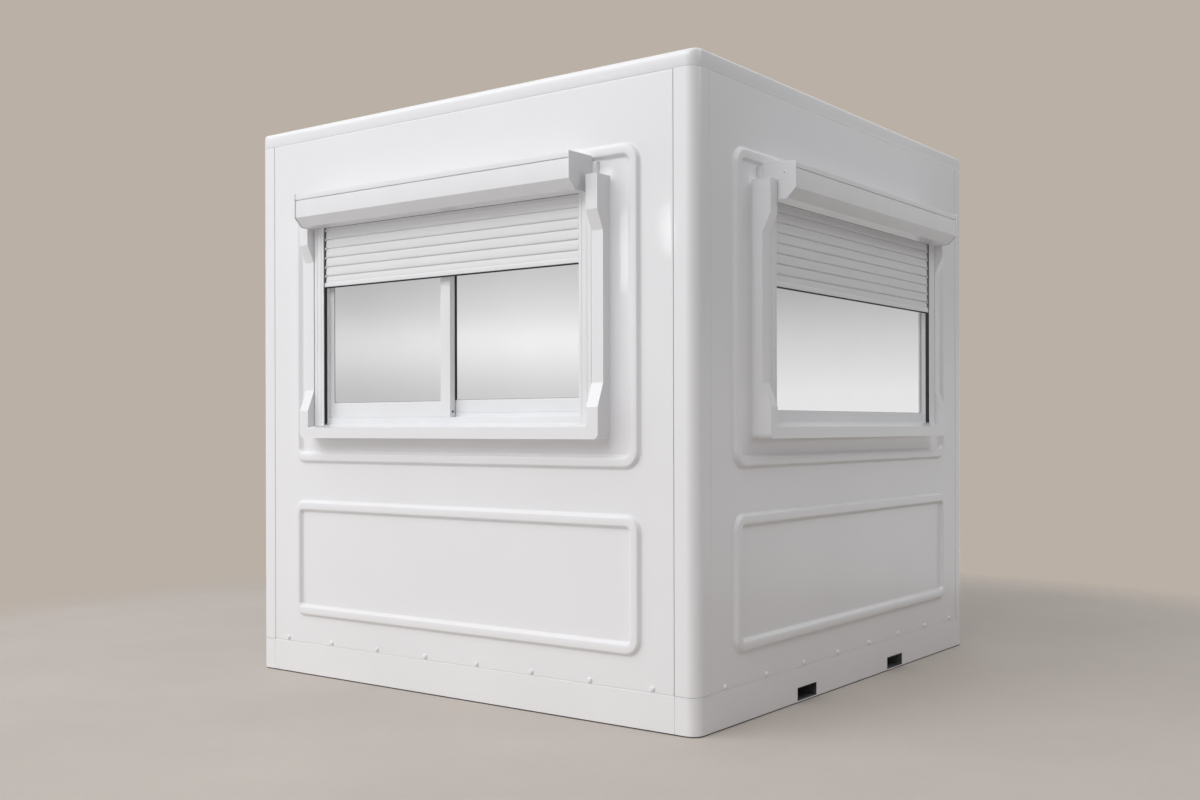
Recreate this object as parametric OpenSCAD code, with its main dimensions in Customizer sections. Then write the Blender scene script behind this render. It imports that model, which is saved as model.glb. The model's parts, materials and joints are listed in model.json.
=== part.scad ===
// Portable office pod: a square-plan moulded cabin with rounded corner posts, flush wall
// panels, a sliding or fixed window with a roller shutter on three sides, a door at the
// back and a plinth with two fork pockets. Front faces -Y, the origin is the centre of
// the footprint on the ground.

/* [Overall] */
// Width across the front, along X
pod_w = 2320; // [1900:10:3000]
// Depth from front to back, along Y
pod_d = 2450; // [1900:10:3200]
// Height from the ground to the top of the roof
pod_h = 2400; // [2300:10:2900]

/* [Shell] */
// Thickness of the insulated wall panels
wall_t = 55; // [40:1:80]
// Radius of the upright corners
corner_r = 45; // [20:1:60]
// Width of a corner post on each face it turns
post_w = 93; // [85:1:140]
// Height of the plinth's top edge
plinth_h = 138; // [120:1:200]
// Thickness of the plinth
plinth_t = 30; // [20:1:38]
// How far the corner posts reach down past the panels' lower edge
post_drop = 6; // [2:1:12]
// Height of the roof cap's rim
roof_rim_h = 67; // [50:1:100]
// Radius along the roof's upper edge
roof_edge_r = 24; // [10:1:44]
// Width of the fine groove where two mouldings meet
groove_w = 2.5; // [1:0.5:5]
// Depth of that groove
groove_depth = 4; // [2:0.5:8]

/* [Floor and base] */
// Thickness of the floor deck
deck_t = 40; // [18:1:50]
// Width of a fork pocket's mouth
pocket_w = 160; // [120:1:220]
// Height of a fork pocket's mouth
pocket_h = 52; // [45:1:60]
// Height of the pocket's lower edge above the ground
pocket_z = 8; // [6:1:12]
// Distance between the two pockets' centres
pocket_spacing = 830; // [600:10:1100]
// Wall thickness of the pocket tubes
pocket_wall = 6; // [3:0.5:6]
// Width of a floor bearer
bearer_w = 60; // [40:1:100]
// Distance from the front and the back to the outer bearers' centre lines
bearer_inset = 325; // [150:5:400]

/* [Raised beads] */
// Width of a bead at its foot
bead_w = 54; // [36:1:55]
// Width of a bead's flat crown
bead_top_w = 26; // [10:1:30]
// Height of a bead above the panel
bead_h = 16; // [6:1:18]
// Outer corner radius of the bead around a window
rim_r = 72; // [58:1:90]
// Lower edge of the bead around a window
rim_z0 = 925; // [900:1:940]
// Upper edge of the bead around a window
rim_z1 = 2102; // [2101:1:2112]
// Gap between a building corner and both beads on the front
front_bead_inset = 230; // [180:1:250]
// The same gap on the two sides
side_bead_inset = 243; // [180:1:270]
// Outer corner radius of the lower bead
low_r = 64; // [58:1:80]
// Lower edge of the lower bead
low_z0 = 256; // [220:1:300]
// Upper edge of the lower bead
low_z1 = 766; // [700:1:800]

/* [Window surround] */
// Gap between a building corner and the surround's upright on the front
front_surround_inset = 361; // [345:1:420]
// The same gap on the two sides
side_surround_inset = 393; // [365:1:440]
// How far the side windows stand left of the middle between those gaps, seen from outside
side_window_shift = 24; // [0:1:30]
// Width of an upright of the surround
upright_w = 52; // [40:1:60]
// How far the slim middle of an upright stands out
upright_proud = 52; // [50:1:65]
// How far an upright's foot, its head and the sill stand out
foot_proud = 86; // [70:1:110]
// Thickness of the surround's back plate
plate_t = 20; // [15:1:24]
// Underside of the sill
sill_z0 = 1036; // [1000:1:1045]
// Front top edge of the sill
sill_z1 = 1080; // [1070:1:1088]
// Back edge of the sloping sill top
sill_back_z = 1096; // [1090:1:1110]
// Height at which an upright's foot starts to slope back
foot_z = 1152; // [1130:1:1180]
// Height at which the slim middle starts
foot_end_z = 1240; // [1200:1:1280]
// Height at which the slim middle ends
head_start_z = 1789; // [1700:1:1800]
// Height at which the upright's head stands fully out
head_z = 1861; // [1850:1:1880]
// Top of an upright
upright_top_z = 1988; // [1960:1:2010]
// Top of the back plate
plate_top_z = 2046; // [2020:1:2052]
// Corner radius at the surround's lower corners
surround_r = 22; // [10:1:30]

/* [Windows] */
// Lower edge of the window opening
opening_z0 = 1084; // [1082:1:1088]
// Upper edge of the window opening
opening_z1 = 1960; // [1940:1:1980]
// How much of the frame's jamb the guide rail covers
jamb_cover = 25; // [15:1:35]
// Distance from the wall's face to the back of the window frame
frame_back = 52; // [50:1:54]
// Width of the frame's head
frame_head = 30; // [20:1:40]
// Top of the frame's outer track on the sliding window
outer_track_z = 1121; // [1110:1:1125]
// Top of the frame's inner track on the sliding window
inner_track_z = 1137; // [1130:1:1145]
// Top of the lower frame member on a fixed window
fixed_rail_z = 1141; // [1125:1:1160]
// Width of the jamb that shows beside a fixed pane
fixed_jamb = 2; // [0:1:50]
// Thickness of a sliding sash
sash_t = 28; // [24:1:30]
// How far the front sash's face stands out of the wall plane
sash_proud = 12; // [8:1:16]
// Space between the two sashes
sash_gap = 5; // [3:1:8]
// Width of a sash's outer stile
stile_w = 24; // [20:1:50]
// Width of the front sash's stile in the middle
meeting_w = 53; // [45:1:70]
// Width of the back sash's stile behind it
back_meeting_w = 40; // [30:1:60]
// How far past the window's middle the front sash reaches
meeting_x = 13; // [10:1:30]
// Height of the front sash's lower rail
sash_rail = 64; // [50:1:80]
// Height of the back sash's lower rail
back_rail = 52; // [40:1:70]
// Thickness of the glass
glass_t = 6; // [4:1:10]
// How deep the glass sits in its groove
glass_bite = 9; // [6:1:12]
// How far the glass lies behind the face of its frame or sash
glass_recess = 4; // [2:1:8]

/* [Roller shutters] */
// Depth of the shutter box
box_depth = 137; // [130:1:150]
// Height of the shutter box
box_h = 131; // [125:1:145]
// Size of the 45 degree slope at the box's lower edge
box_slope = 36; // [30:1:50]
// Underside of the box on the front
front_box_z = 1931; // [1920:1:1940]
// Underside of the boxes on the two sides
side_box_z = 1918; // [1918:1:1940]
// Gap between the left upright and the end of the box on the front
front_box_gap_left = 2; // [1:1:30]
// The same gap at the right upright
front_box_gap_right = 18; // [1:1:30]
// The same gap at both uprights on the two sides
side_box_gap = 5; // [1:1:30]
// Thickness of the box's end caps
cap_t = 4; // [2:1:8]
// How far an end cap stands past the box's outline
cap_lip = 3; // [1:0.5:6]
// Face width of a guide rail
rail_w = 60; // [50:1:70]
// How far a guide rail's face stands out
rail_proud = 50; // [48:1:52]
// Thickness of a guide rail's walls
rail_wall = 4; // [2:0.5:5]
// Height of one slat
slat_pitch = 39; // [30:1:60]
// Thickness of a slat
slat_t = 9; // [7:0.5:10]
// Depth of the groove between two slats
slat_groove = 2.5; // [1:0.5:3]
// Visible height of the lowest slat
first_slat = 26; // [10:1:39]
// Height of the bar below the lowest slat
bar_h = 18; // [15:1:40]
// Thickness of that bar
bar_t = 13; // [10:1:15]
// Depth of a guide rail's slot from front to back
slot_d = 18; // [16:1:22]
// Space between the curtain's edge and the slot's bottom
slot_clear = 2; // [1:0.5:5]
// Lower edge of the lowered shutter on the front
front_shutter_z = 1680; // [1300:1:1800]
// Lower edge of the lowered shutters on the two sides
side_shutter_z = 1605; // [1300:1:1800]

/* [Back door] */
// Width of the doorway
doorway_w = 880; // [750:10:1100]
// Height of the doorway's head above the ground
doorway_z = 2150; // [2050:10:2180]
// Face width of the door frame
door_frame_w = 42; // [30:1:60]
// Height of the threshold above the floor
threshold_h = 20; // [10:1:40]
// Thickness of the door leaf
leaf_t = 45; // [35:1:60]
// How far the frame's stop reaches in behind the leaf
stop_w = 14; // [8:1:25]
// Thickness of that stop
stop_t = 10; // [6:1:20]
// Gap round the door leaf
leaf_gap = 3; // [0.5:0.5:6]
// Inset of the leaf's raised beads from its edges
leaf_bead_inset = 95; // [80:1:130]
// Gap between the leaf's upper and lower bead
leaf_bead_gap = 110; // [60:1:200]
// Lever handle's height above the ground
handle_z = 1180; // [1000:10:1300]
// Lever handle's length
handle_len = 125; // [90:1:160]
// Lever handle's radius
handle_r = 10; // [7:0.5:12]
// Distance from the leaf to the middle of the lever
handle_reach = 48; // [40:1:60]
// Radius of the round plate under the handle
rose_r = 26; // [20:1:32]
// Thickness of that plate
rose_t = 8; // [4:1:12]

/* [Hidden] */
$fn = 48;
eps = 1;
cut = 200;

front_surround_w = pod_w - 2 * front_surround_inset;
side_surround_w = pod_d - 2 * side_surround_inset;
panel_top = pod_h - roof_rim_h;
slot_proud = rail_proud - rail_wall;
curtain_proud = slot_proud - slot_d / 2;
rail_reach = jamb_cover - rail_wall;
box_front = plate_t + box_depth;
deck_z = plinth_h - deck_t;
leaf_w = doorway_w - 2 * door_frame_w - 2 * leaf_gap;
leaf_z0 = plinth_h + threshold_h + leaf_gap;
leaf_z1 = doorway_z - door_frame_w - leaf_gap;

function lip_x(surround_w) = surround_w / 2 - upright_w - rail_w;
function opening_x(surround_w) = lip_x(surround_w) + jamb_cover;
function inner_x(surround_w) = surround_w / 2 - upright_w;

front_lip = lip_x(front_surround_w);
side_lip = lip_x(side_surround_w);
front_box = [-inner_x(front_surround_w) + front_box_gap_left,
    inner_x(front_surround_w) - front_box_gap_right];
side_box = [-inner_x(side_surround_w) + side_box_gap, inner_x(side_surround_w) - side_box_gap];
sash_top = opening_z1 - frame_head;
back_sash_proud = sash_proud - sash_t - sash_gap;
fixed_x = side_lip - fixed_jamb;
glass_depth = glass_recess + glass_t / 2;

// --- Faces -----------------------------------------------------------------------------
// On a face, X runs to the right as seen from outside, Z is up, Y = 0 is the wall's outer
// plane and -Y points outwards.

module on_front() { translate([0, -pod_d / 2, 0]) children(); }
module on_right() { translate([pod_w / 2, 0, 0]) rotate(90) children(); }
module on_back() { translate([0, pod_d / 2, 0]) rotate(180) children(); }
module on_left() { translate([-pod_w / 2, 0, 0]) rotate(-90) children(); }

// On the two sides, X = 0 is the window's own middle
module on_right_window() { on_right() translate([-side_window_shift, 0, 0]) children(); }
module on_left_window() { on_left() translate([-side_window_shift, 0, 0]) children(); }

// A bar along X whose section is given as [distance out of the wall, height] points
module bar_along_x(half_length, section) {
    translate([-half_length, 0, 0])
        rotate([90, 0, 90])
            linear_extrude(2 * half_length)
                polygon([for (p = section) [-p[0], p[1]]]);
}

// A slab standing on the face between two distances out of the wall
module slab(x0, x1, z0, z1, proud0, proud1) {
    translate([x0, -proud1, z0]) cube([x1 - x0, proud1 - proud0, z1 - z0]);
}

// --- Outlines --------------------------------------------------------------------------

// Rounded rectangle from corner to corner
module rounded_outline(x0, y0, x1, y1, r) {
    translate([x0 + r, y0]) square([x1 - x0 - 2 * r, y1 - y0]);
    translate([x0, y0 + r]) square([x1 - x0, y1 - y0 - 2 * r]);
    for (x = [x0 + r, x1 - r], y = [y0 + r, y1 - r]) translate([x, y]) circle(r);
}

// The building's outline, drawn in by a distance
module footprint(inset = 0) {
    rounded_outline(-pod_w / 2 + inset, -pod_d / 2 + inset, pod_w / 2 - inset,
        pod_d / 2 - inset, max(corner_r - inset, 2));
}

// Everything on the plan that lies left of the seam at the right-hand posts
module left_of_seam() {
    translate([-pod_w, -pod_d]) square([pod_w + pod_w / 2 - post_w, 2 * pod_d]);
}

// --- Raised beads ----------------------------------------------------------------------

// Half-height section of a bead: X is the distance from the ring's centre line
module bead_section() {
    polygon([[-bead_w / 2, 0], [-bead_top_w / 2, bead_h], [bead_top_w / 2, bead_h],
        [bead_w / 2, 0]]);
}

// A closed bead on the face, given by its outer edges
module bead_ring(half_w, z0, z1, outer_r) {
    line_r = outer_r - bead_w / 2;
    run_x = half_w - outer_r;
    run_z = z1 - z0 - 2 * outer_r;
    for (z = [z0 + bead_w / 2, z1 - bead_w / 2])
        translate([-run_x, 0, z]) rotate([90, 0, 90]) linear_extrude(2 * run_x)
            rotate(90) bead_section();
    for (x = [-half_w + bead_w / 2, half_w - bead_w / 2])
        translate([x, 0, z0 + outer_r]) linear_extrude(run_z)
            mirror([0, 1]) bead_section();
    for (side = [0, 1], top = [0, 1])
        mirror([side, 0, 0])
            translate([run_x, 0, top == 1 ? z1 - outer_r : z0 + outer_r])
                mirror([0, 0, 1 - top])
                    rotate([90, 0, 0]) rotate_extrude(angle = 90)
                        translate([line_r, 0]) bead_section();
}

// --- Base and floor --------------------------------------------------------------------

module pocket_holes() {
    for (side = [-1, 1])
        translate([-pod_w, side * pocket_spacing / 2 - pocket_w / 2, pocket_z])
            cube([2 * pod_w, pocket_w, pocket_h]);
}

module plinth_straight() {
    translate([-pod_w / 2 + post_w, 0, 0]) cube([pod_w - 2 * post_w, plinth_t, plinth_h]);
}

module plinth_front() { color("whitesmoke") on_front() plinth_straight(); }
module plinth_back() { color("whitesmoke") on_back() plinth_straight(); }

// A side plinth turns both corners and carries the fork pockets' mouths
module plinth_side() {
    difference() {
        linear_extrude(plinth_h)
            difference() {
                footprint();
                footprint(plinth_t);
                left_of_seam();
            }
        for (side = [-1, 1])
            translate([pod_w / 2 - post_w - eps,
                side * (pod_d / 2 - post_w / 2) - post_w / 2 - (1 - side) * eps / 2,
                plinth_h - post_drop])
                cube([post_w + 2 * eps, post_w + eps, post_drop + eps]);
        pocket_holes();
    }
}

module plinth_right() { color("whitesmoke") plinth_side(); }
module plinth_left() { color("whitesmoke") mirror([1, 0, 0]) plinth_side(); }

module fork_pockets() {
    length = pod_w - 2 * plinth_t;
    color("silver")
        difference() {
            for (side = [-1, 1])
                translate([-length / 2, side * pocket_spacing / 2 - pocket_w / 2 - pocket_wall,
                    pocket_z - pocket_wall])
                    cube([length, pocket_w + 2 * pocket_wall, pocket_h + 2 * pocket_wall]);
            pocket_holes();
        }
}

// Bearers run from side to side; the middle one crosses the origin
module floor_bearers() {
    length = pod_w - 2 * plinth_t;
    reach = pod_d / 2 - bearer_inset;
    color("silver")
        for (y = [-reach, 0, reach])
            translate([-length / 2, y - bearer_w / 2, 0]) cube([length, bearer_w, deck_z]);
}

module floor_deck() {
    color("burlywood")
        translate([0, 0, deck_z])
            linear_extrude(deck_t) footprint(plinth_t);
}

// --- Corner posts and walls ------------------------------------------------------------

// The post at the +X, -Y corner: an angle of two flanges with a rounded outer corner
module corner_post() {
    difference() {
        translate([0, 0, plinth_h - post_drop])
            linear_extrude(panel_top - plinth_h + post_drop)
                difference() {
                    footprint();
                    left_of_seam();
                    translate([0, -pod_d / 2 + post_w]) square([pod_w, pod_d * 2]);
                    translate([pod_w / 2 - post_w - eps, -pod_d / 2 + wall_t])
                        square([post_w + eps - wall_t, post_w]);
                }
        translate([-pod_w / 2, -pod_d / 2 + plinth_t, 0])
            cube([pod_w - plinth_t, pod_d, plinth_h]);
    }
}

module corner_post_front_right() { color("white") corner_post(); }
module corner_post_front_left() { color("white") mirror([1, 0, 0]) corner_post(); }
module corner_post_back_right() { color("white") mirror([0, 1, 0]) corner_post(); }
module corner_post_back_left() { color("white") mirror([1, 0, 0]) mirror([0, 1, 0]) corner_post(); }

// A wall panel between two posts, with the fine grooves along its edges
module panel(face_w) {
    half = face_w / 2 - post_w;
    difference() {
        slab(-half, half, plinth_h, panel_top, -wall_t, 0);
        for (x = [-half - eps, half - groove_w])
            slab(x, x + groove_w + eps, plinth_h - eps, panel_top + eps, -groove_depth, eps);
        slab(-half - eps, half + eps, panel_top - groove_w, panel_top + eps, -groove_depth, eps);
        slab(-half - eps, half + eps, plinth_h - eps, plinth_h + groove_w, -groove_depth, eps);
    }
}

module window_wall(face_w, surround_w, bead_inset, shift) {
    difference() {
        union() {
            panel(face_w);
            bead_ring(face_w / 2 - bead_inset, rim_z0, rim_z1, rim_r);
            bead_ring(face_w / 2 - bead_inset, low_z0, low_z1, low_r);
        }
        slab(-opening_x(surround_w) - shift, opening_x(surround_w) - shift, opening_z0,
            opening_z1, -cut, cut);
    }
}

module side_wall() { window_wall(pod_d, side_surround_w, side_bead_inset, side_window_shift); }

module wall_front() {
    color("white") on_front() window_wall(pod_w, front_surround_w, front_bead_inset, 0);
}
module wall_right() { color("white") on_right() side_wall(); }
module wall_left() { color("white") on_left() side_wall(); }

module wall_back() {
    color("white")
        on_back()
            difference() {
                panel(pod_w);
                slab(-doorway_w / 2, doorway_w / 2, plinth_h - eps, doorway_z, -cut, cut);
            }
}

// --- Roof ------------------------------------------------------------------------------

// Section of the roof's edge: X = corner_r is the outer face
module roof_edge_section() {
    square([corner_r, roof_rim_h - roof_edge_r]);
    square([corner_r - roof_edge_r, roof_rim_h]);
    intersection() {
        translate([corner_r - roof_edge_r, roof_rim_h - roof_edge_r]) circle(roof_edge_r);
        square([corner_r, roof_rim_h]);
    }
}

module roof_cap() {
    core_x = pod_w / 2 - corner_r;
    core_y = pod_d / 2 - corner_r;
    color("white")
        translate([0, 0, panel_top]) {
            translate([-core_x, -core_y, 0]) cube([2 * core_x, 2 * core_y, roof_rim_h]);
            for (mx = [0, 1])
                mirror([mx, 0, 0])
                    translate([core_x, core_y, 0]) rotate([90, 0, 0])
                        linear_extrude(2 * core_y) roof_edge_section();
            for (my = [0, 1])
                mirror([0, my, 0])
                    translate([-core_x, core_y, 0]) rotate([90, 0, 90])
                        linear_extrude(2 * core_x) roof_edge_section();
            for (mx = [0, 1], my = [0, 1])
                mirror([mx, 0, 0]) mirror([0, my, 0])
                    translate([core_x, core_y, 0])
                        rotate_extrude(angle = 90) roof_edge_section();
        }
}

// --- Window surround -------------------------------------------------------------------

module sill_section_bar(half_length) {
    bar_along_x(half_length, [[0, sill_z0], [foot_proud, sill_z0], [foot_proud, sill_z1],
        [plate_t, sill_back_z], [plate_t, opening_z0], [0, opening_z0]]);
}

module surround_upright() {
    bar_along_x(upright_w / 2, [[0, sill_z0], [foot_proud, sill_z0], [foot_proud, foot_z],
        [upright_proud, foot_end_z], [upright_proud, head_start_z], [foot_proud, head_z],
        [foot_proud, upright_top_z], [0, upright_top_z]]);
}

module surround(surround_w) {
    half = surround_w / 2;
    opening = opening_x(surround_w);
    intersection() {
        union() {
            sill_section_bar(half);
            for (side = [-1, 1]) translate([side * (half - upright_w / 2), 0, 0]) surround_upright();
            difference() {
                slab(-half + eps, half - eps, sill_z0 + eps, upright_top_z - eps, 0, plate_t);
                slab(-opening, opening, opening_z0, opening_z1, -eps, cut);
            }
            slab(-inner_x(surround_w), inner_x(surround_w), opening_z1, plate_top_z, 0, plate_t);
        }
        rotate([90, 0, 0])
            linear_extrude(cut)
                rounded_outline(-half, sill_z0, half, pod_h, surround_r);
    }
}

module front_surround() { color("white") on_front() surround(front_surround_w); }
module right_surround() { color("white") on_right_window() surround(side_surround_w); }
module left_surround() { color("white") on_left_window() surround(side_surround_w); }

// --- Windows ---------------------------------------------------------------------------

// The fixed frame in the opening; its lower member has an outer and an inner height
module window_frame(surround_w, jamb, outer_z, inner_z) {
    opening = opening_x(surround_w);
    track_split = sash_proud - sash_t - sash_gap / 2;
    difference() {
        slab(-opening, opening, opening_z0, opening_z1, -frame_back, plate_t);
        slab(-opening + jamb, opening - jamb, outer_z, opening_z1 - frame_head, track_split, cut);
        slab(-opening + jamb, opening - jamb, inner_z, opening_z1 - frame_head, -cut,
            track_split + eps);
    }
}

// A pane, centred at a distance out of the wall, given by the part that shows
module pane(x0, x1, z0, z1, middle) {
    slab(x0 - glass_bite, x1 + glass_bite, z0 - glass_bite, z1 + glass_bite,
        middle - glass_t / 2, middle + glass_t / 2);
}

module front_pane() {
    pane(-front_lip + stile_w, meeting_x - meeting_w, outer_track_z + sash_rail,
        sash_top - stile_w, sash_proud - glass_depth);
}

module back_pane() {
    pane(meeting_x - meeting_w + back_meeting_w, front_lip - stile_w,
        inner_track_z + back_rail, sash_top - stile_w, back_sash_proud - glass_depth);
}

// One sash: a ring of two stiles and two rails
module sash(x0, x1, z0, face_proud, left_w, right_w, rail) {
    difference() {
        slab(x0, x1, z0, sash_top, face_proud - sash_t, face_proud);
        slab(x0 + left_w, x1 - right_w, z0 + rail, sash_top - stile_w, -cut, cut);
    }
}

module front_window_frame() {
    color("white")
        on_front() window_frame(front_surround_w, jamb_cover, outer_track_z, inner_track_z);
}

module front_sash_left() {
    color("white")
        on_front()
            difference() {
                sash(-front_lip, meeting_x, outer_track_z, sash_proud, stile_w, meeting_w,
                    sash_rail);
                front_pane();
            }
}

module front_sash_right() {
    color("white")
        on_front()
            difference() {
                sash(meeting_x - meeting_w, front_lip, inner_track_z, back_sash_proud,
                    back_meeting_w, stile_w, back_rail);
                back_pane();
            }
}

module front_glass() {
    color("lightgray")
        on_front() {
            front_pane();
            back_pane();
        }
}

module fixed_frame() {
    difference() {
        window_frame(side_surround_w, jamb_cover + fixed_jamb, fixed_rail_z, fixed_rail_z);
        fixed_pane();
    }
}

module fixed_pane() {
    pane(-fixed_x, fixed_x, fixed_rail_z, opening_z1 - frame_head, sash_proud - glass_depth);
}

module right_window_frame() { color("white") on_right_window() fixed_frame(); }
module left_window_frame() { color("white") on_left_window() fixed_frame(); }
module right_glass() { color("lightgray") on_right_window() fixed_pane(); }
module left_glass() { color("lightgray") on_left_window() fixed_pane(); }

// --- Roller shutters -------------------------------------------------------------------

// Section of the shutter box above an underside, with its sloped lower edge, grown by a lip
function box_section(z, lip) = [[plate_t, z - lip], [box_front - box_slope + lip / 2, z - lip],
    [box_front + lip, z + box_slope - lip / 2], [box_front + lip, z + box_h + lip],
    [plate_t, z + box_h + lip]];

// The box between its two ends
module shutter_box(ends, z) {
    half = (ends[1] - ends[0]) / 2 - cap_t;
    translate([(ends[0] + ends[1]) / 2, 0, 0]) bar_along_x(half, box_section(z, 0));
}

module shutter_caps(ends, z) {
    for (x = [ends[0] + cap_t / 2, ends[1] - cap_t / 2])
        translate([x, 0, 0]) bar_along_x(cap_t / 2, box_section(z, cap_lip));
}

// Two slotted channels that stand on the sloping sill and hold the curtain's edges
module shutter_rails(lip, ends, z) {
    difference() {
        for (side = [0, 1])
            mirror([side, 0, 0])
                difference() {
                    slab(lip, lip + rail_w, sill_z1, z, plate_t, rail_proud);
                    slab(lip - eps, lip + rail_reach + slot_clear, sill_z1 - eps, z + eps,
                        slot_proud - slot_d, slot_proud);
                }
        sill_section_bar(2 * lip);
        shutter_caps(ends, z);
    }
}

// Section of the slatted curtain, hung from the underside of the box
function slat_points(z0, side) = let (steps = 6) [
    for (i = [0 : steps])
        [curtain_proud + side * (slat_t / 2 - slat_groove * pow(2 * i / steps - 1, 4)),
            z0 + i * slat_pitch / steps]];
function reversed(list) = [for (i = [len(list) - 1 : -1 : 0]) list[i]];

module shutter_curtain(lip, box_z, bottom_z) {
    low = bottom_z + bar_h;
    start = low + first_slat - slat_pitch;
    count = ceil((box_z - start) / slat_pitch);
    front = [for (s = [0 : count - 1]) each slat_points(start + s * slat_pitch, 1)];
    back = [for (s = [0 : count - 1]) each slat_points(start + s * slat_pitch, -1)];
    intersection() {
        bar_along_x(lip + rail_reach, concat(front, reversed(back)));
        slab(-2 * lip, 2 * lip, low, box_z, 0, cut);
    }
}

module shutter_bar(lip, bottom_z) {
    slab(-lip - rail_reach, lip + rail_reach, bottom_z, bottom_z + bar_h,
        curtain_proud - bar_t / 2, curtain_proud + bar_t / 2);
}

module side_box() { shutter_box(side_box, side_box_z); }
module side_caps() { shutter_caps(side_box, side_box_z); }
module side_rails() { shutter_rails(side_lip, side_box, side_box_z); }
module side_curtain() { shutter_curtain(side_lip, side_box_z, side_shutter_z); }
module side_bar() { shutter_bar(side_lip, side_shutter_z); }

module front_shutter_box() { color("white") on_front() shutter_box(front_box, front_box_z); }
module front_shutter_caps() {
    color("gainsboro") on_front() shutter_caps(front_box, front_box_z);
}
module front_shutter_rails() {
    color("white") on_front() shutter_rails(front_lip, front_box, front_box_z);
}
module front_shutter_curtain() {
    color("whitesmoke") on_front() shutter_curtain(front_lip, front_box_z, front_shutter_z);
}
module front_shutter_bar() { color("white") on_front() shutter_bar(front_lip, front_shutter_z); }

module right_shutter_box() { color("white") on_right_window() side_box(); }
module right_shutter_caps() { color("gainsboro") on_right_window() side_caps(); }
module right_shutter_rails() { color("white") on_right_window() side_rails(); }
module right_shutter_curtain() { color("whitesmoke") on_right_window() side_curtain(); }
module right_shutter_bar() { color("white") on_right_window() side_bar(); }

module left_shutter_box() { color("white") on_left_window() side_box(); }
module left_shutter_caps() { color("gainsboro") on_left_window() side_caps(); }
module left_shutter_rails() { color("white") on_left_window() side_rails(); }
module left_shutter_curtain() { color("whitesmoke") on_left_window() side_curtain(); }
module left_shutter_bar() { color("white") on_left_window() side_bar(); }

// --- Back door -------------------------------------------------------------------------

module door_frame() {
    half = doorway_w / 2;
    inner = half - door_frame_w;
    threshold_z = plinth_h + threshold_h;
    head_z = doorway_z - door_frame_w;
    color("white")
        on_back()
            difference() {
                slab(-half, half, plinth_h, doorway_z, -max(wall_t, leaf_t + stop_t), 0);
                slab(-inner, inner, threshold_z, head_z, -leaf_t, cut);
                slab(-inner + stop_w, inner - stop_w, threshold_z + stop_w, head_z - stop_w,
                    -cut, cut);
            }
}

module door_leaf() {
    half = leaf_w / 2;
    middle = (leaf_z0 + leaf_z1) / 2;
    color("white")
        on_back() {
            slab(-half, half, leaf_z0, leaf_z1, -leaf_t, 0);
            bead_ring(half - leaf_bead_inset, leaf_z0 + leaf_bead_inset,
                middle - leaf_bead_gap / 2, low_r);
            bead_ring(half - leaf_bead_inset, middle + leaf_bead_gap / 2,
                leaf_z1 - leaf_bead_inset, low_r);
        }
}

module door_handle() {
    color("silver")
        on_back()
            translate([-leaf_w / 2 + leaf_bead_inset / 2, 0, handle_z]) {
                rotate([90, 0, 0]) cylinder(h = rose_t, r = rose_r);
                rotate([90, 0, 0]) cylinder(h = handle_reach, r = handle_r);
                translate([-handle_r, -handle_reach, 0])
                    rotate([0, 90, 0]) cylinder(h = handle_len, r = handle_r);
            }
}

plinth_front();
plinth_back();
plinth_left();
plinth_right();
fork_pockets();
floor_bearers();
floor_deck();
corner_post_front_left();
corner_post_front_right();
corner_post_back_left();
corner_post_back_right();
wall_front();
wall_right();
wall_left();
wall_back();
roof_cap();
front_surround();
front_window_frame();
front_sash_left();
front_sash_right();
front_glass();
front_shutter_box();
front_shutter_caps();
front_shutter_rails();
front_shutter_curtain();
front_shutter_bar();
right_surround();
right_window_frame();
right_glass();
right_shutter_box();
right_shutter_caps();
right_shutter_rails();
right_shutter_curtain();
right_shutter_bar();
left_surround();
left_window_frame();
left_glass();
left_shutter_box();
left_shutter_caps();
left_shutter_rails();
left_shutter_curtain();
left_shutter_bar();
door_frame();
door_leaf();
door_handle();
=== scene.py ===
import json
import math
import bmesh
import bpy
import numpy as np
from mathutils import Matrix, Vector

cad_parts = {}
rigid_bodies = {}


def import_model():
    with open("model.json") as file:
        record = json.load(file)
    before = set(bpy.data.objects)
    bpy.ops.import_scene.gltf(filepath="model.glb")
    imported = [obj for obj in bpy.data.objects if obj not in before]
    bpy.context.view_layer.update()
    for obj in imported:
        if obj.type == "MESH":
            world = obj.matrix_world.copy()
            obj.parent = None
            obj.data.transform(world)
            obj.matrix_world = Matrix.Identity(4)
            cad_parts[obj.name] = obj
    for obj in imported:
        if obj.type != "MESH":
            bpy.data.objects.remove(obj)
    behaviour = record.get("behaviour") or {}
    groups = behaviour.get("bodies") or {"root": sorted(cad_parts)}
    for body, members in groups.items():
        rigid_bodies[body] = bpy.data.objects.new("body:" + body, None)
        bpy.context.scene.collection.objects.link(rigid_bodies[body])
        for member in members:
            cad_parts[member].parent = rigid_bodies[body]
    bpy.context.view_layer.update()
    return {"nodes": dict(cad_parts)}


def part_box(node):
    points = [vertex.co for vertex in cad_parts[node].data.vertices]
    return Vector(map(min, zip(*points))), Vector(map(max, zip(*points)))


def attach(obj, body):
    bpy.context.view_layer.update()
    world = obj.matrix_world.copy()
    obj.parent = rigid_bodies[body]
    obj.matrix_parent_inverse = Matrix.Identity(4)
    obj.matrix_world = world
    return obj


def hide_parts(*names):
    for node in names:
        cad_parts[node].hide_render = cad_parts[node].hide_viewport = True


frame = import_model()

# Lengths in this file are in millimetres unless a comment says otherwise. On a face, x runs
# to the right as seen from outside, p is the distance out of the wall plane and z is up.
M = 0.001

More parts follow.
